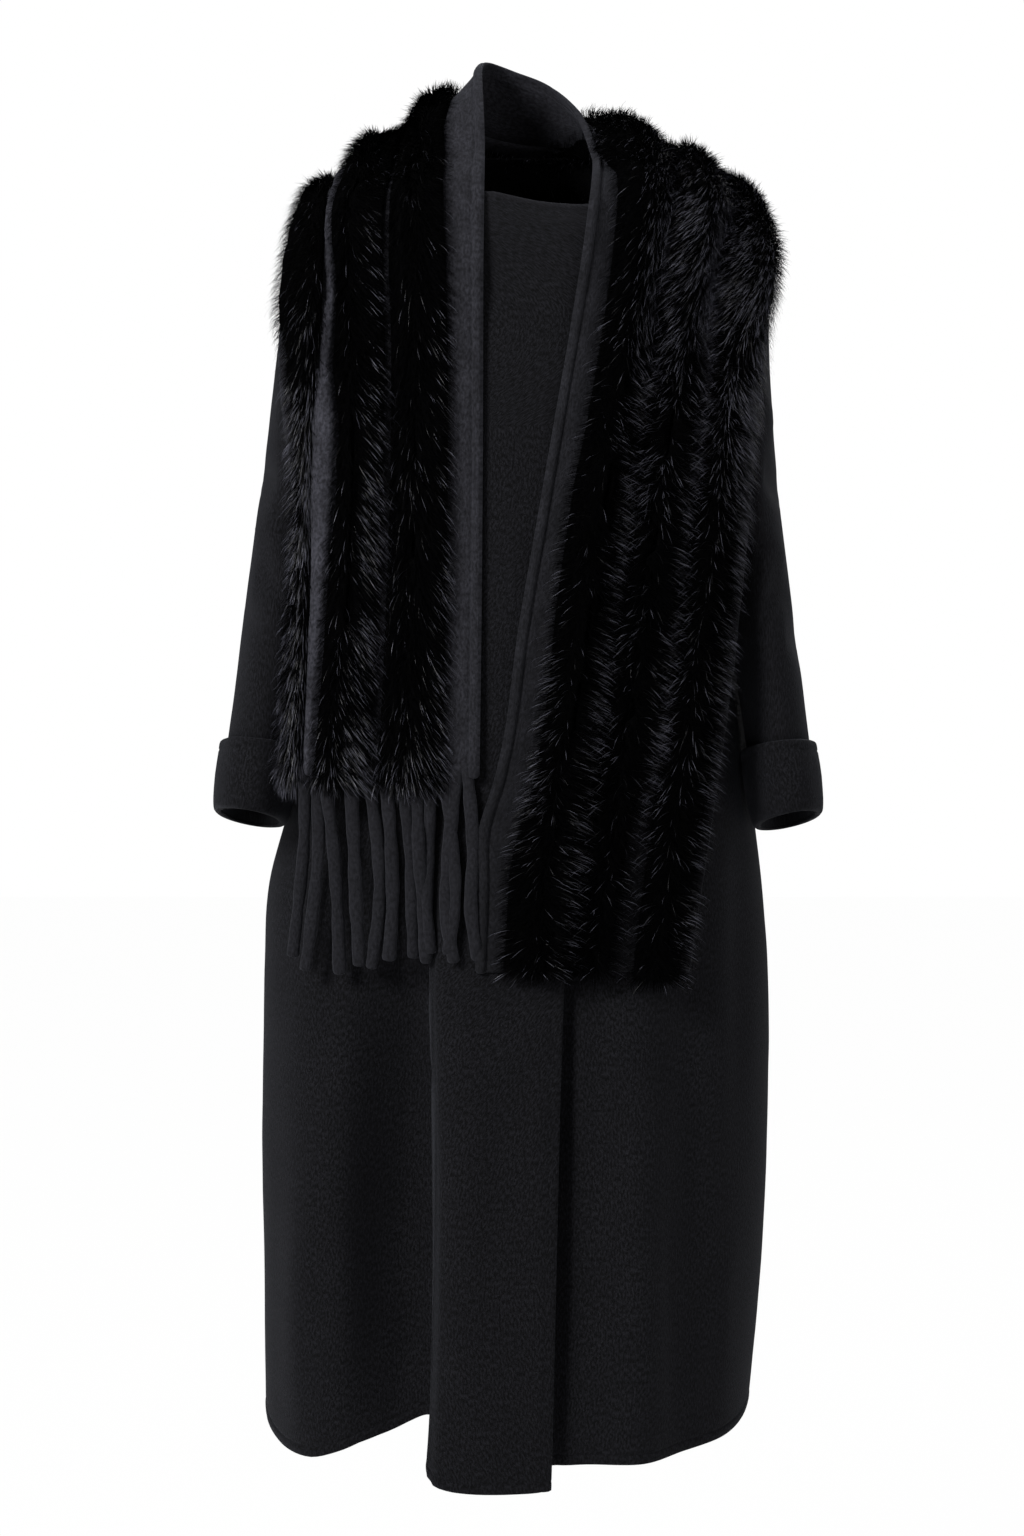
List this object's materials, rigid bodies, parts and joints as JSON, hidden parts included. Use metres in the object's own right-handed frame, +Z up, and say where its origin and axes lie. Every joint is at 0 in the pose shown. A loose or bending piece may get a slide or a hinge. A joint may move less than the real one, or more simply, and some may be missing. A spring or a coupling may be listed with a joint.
{
  "type": "long coat with fur shawl",
  "caption": "Long black wool coat with a round neck, lapped front and turned-back cuffs, under a matching wool and fur shawl with a fringed end, hollow as worn.",
  "frame": {"origin": "on the shoulders, midway between the two side points of the coat's neckline, where the wearer carries it", "axes": "+X to the wearer's left, -Y the way the wearer faces, +Z up"},
  "size_m": [0.5419, 0.3661, 1.2461],
  "materials": {
    "black_wool": "matte napped double-faced wool, charcoal black",
    "black_fur": "dense black fur with glossy grey guard hairs"
  },
  "bodies": {
    "root": {"front_right": "black_wool", "front_left": "black_wool", "back": "black_wool", "sleeve_right": "black_wool", "sleeve_left": "black_wool", "cuff_right": "black_wool", "cuff_left": "black_wool", "shawl_right": "black_wool", "shawl_neck": "black_wool", "shawl_left": "black_wool", "fringe": "black_wool", "fur_right_1": "black_fur", "fur_right_2": "black_fur", "fur_right_3": "black_fur", "fur_neck_1": "black_fur", "fur_neck_2": "black_fur", "fur_neck_3": "black_fur", "fur_left_1": "black_fur", "fur_left_2": "black_fur", "fur_left_3": "black_fur"}
  },
  "joints": []
}
